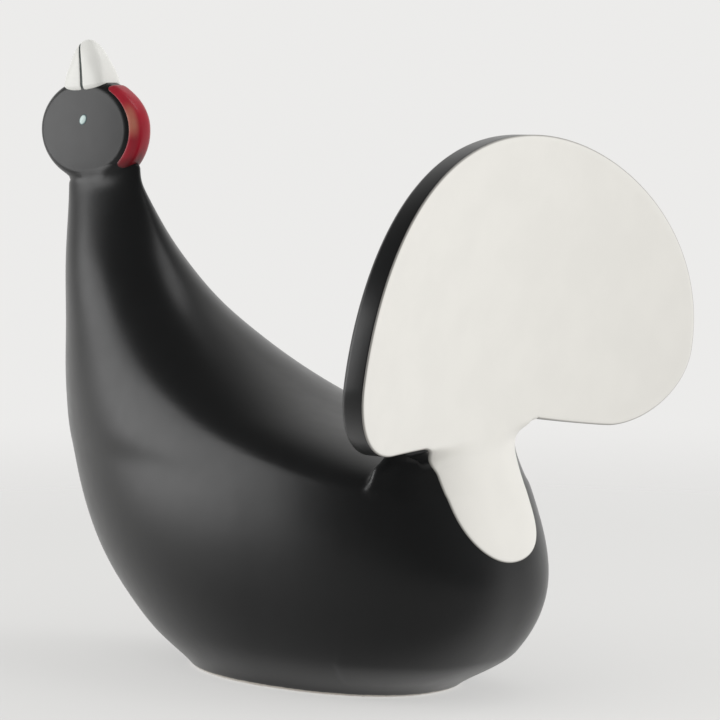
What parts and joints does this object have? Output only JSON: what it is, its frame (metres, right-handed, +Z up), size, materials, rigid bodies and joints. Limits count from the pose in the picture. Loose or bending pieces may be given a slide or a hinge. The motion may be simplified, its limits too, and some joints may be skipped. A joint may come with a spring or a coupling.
{
  "type": "capercaillie figurine",
  "caption": "Stylised wood grouse ornament in glazed ceramic, beak raised and tail fanned upright behind a boat-shaped body, to stand on a shelf.",
  "frame": {"origin": "centre of the flat foot, on the surface that the bird stands on", "axes": "+Z up, -X the way the bird faces, -Y its left side"},
  "size_m": [0.2017, 0.156, 0.194],
  "materials": {
    "black_glaze": "satin black glaze with a fine grain, bare pale clay under the foot",
    "white_glaze": "smooth warm white glaze",
    "red_enamel": "glossy red enamel, thinner and browner at its lower end",
    "beak_glaze": "white glaze with a dark line in the mouth groove",
    "eye_enamel": "pale blue-white enamel dot"
  },
  "bodies": {
    "root": {"body_shell": "black_glaze", "tail_fan": "black_glaze", "tail_glaze": "white_glaze", "head": "black_glaze", "comb": "red_enamel", "beak": "beak_glaze", "eyes": "eye_enamel"}
  },
  "joints": []
}
